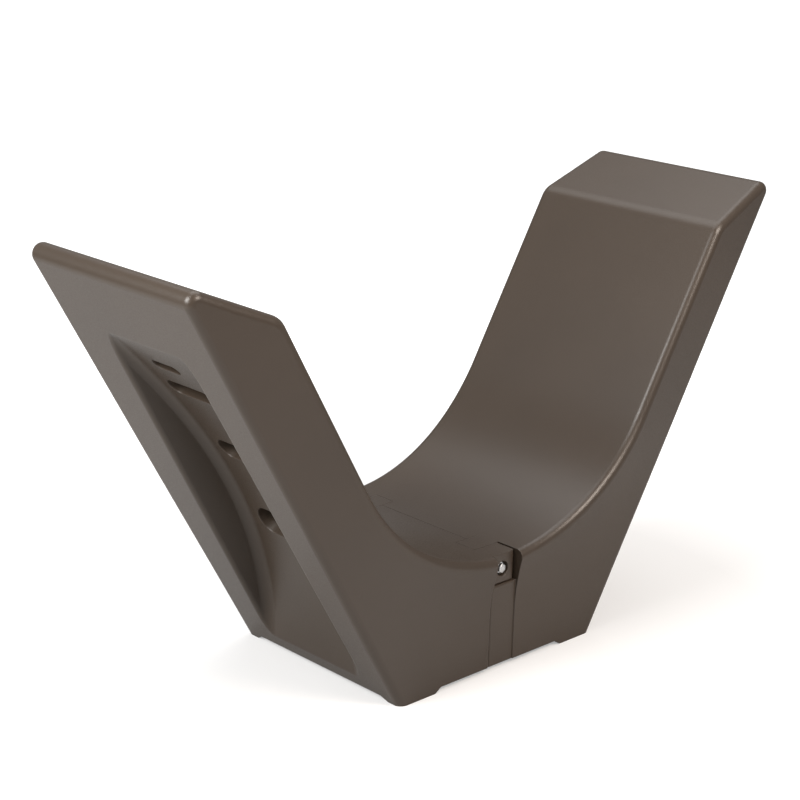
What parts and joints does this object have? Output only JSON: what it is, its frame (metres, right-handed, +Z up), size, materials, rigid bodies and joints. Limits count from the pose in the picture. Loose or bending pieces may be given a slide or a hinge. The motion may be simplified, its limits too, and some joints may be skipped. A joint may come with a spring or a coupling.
{
  "type": "log holder",
  "caption": "Free-standing V-shaped log holder: two hollow-moulded leaning halves lapped and bolted at the middle, with a rounded trough between them.",
  "frame": {"origin": "on the floor, at the middle of the base", "axes": "+X along the holder's width, towards the right arm seen from the front; +Y from the front to the back; +Z up"},
  "size_m": [1.1898, 0.3804, 0.687],
  "materials": {
    "moulding": "satin, fine moulded grain",
    "zinc_steel": "bright zinc plated",
    "insert_brass": "turned"
  },
  "bodies": {
    "root": {"left_half": "moulding", "right_half": "moulding", "front_bolt": "zinc_steel", "back_bolt": "zinc_steel", "front_washer": "zinc_steel", "back_washer": "zinc_steel", "front_insert": "insert_brass", "back_insert": "insert_brass"}
  },
  "joints": []
}
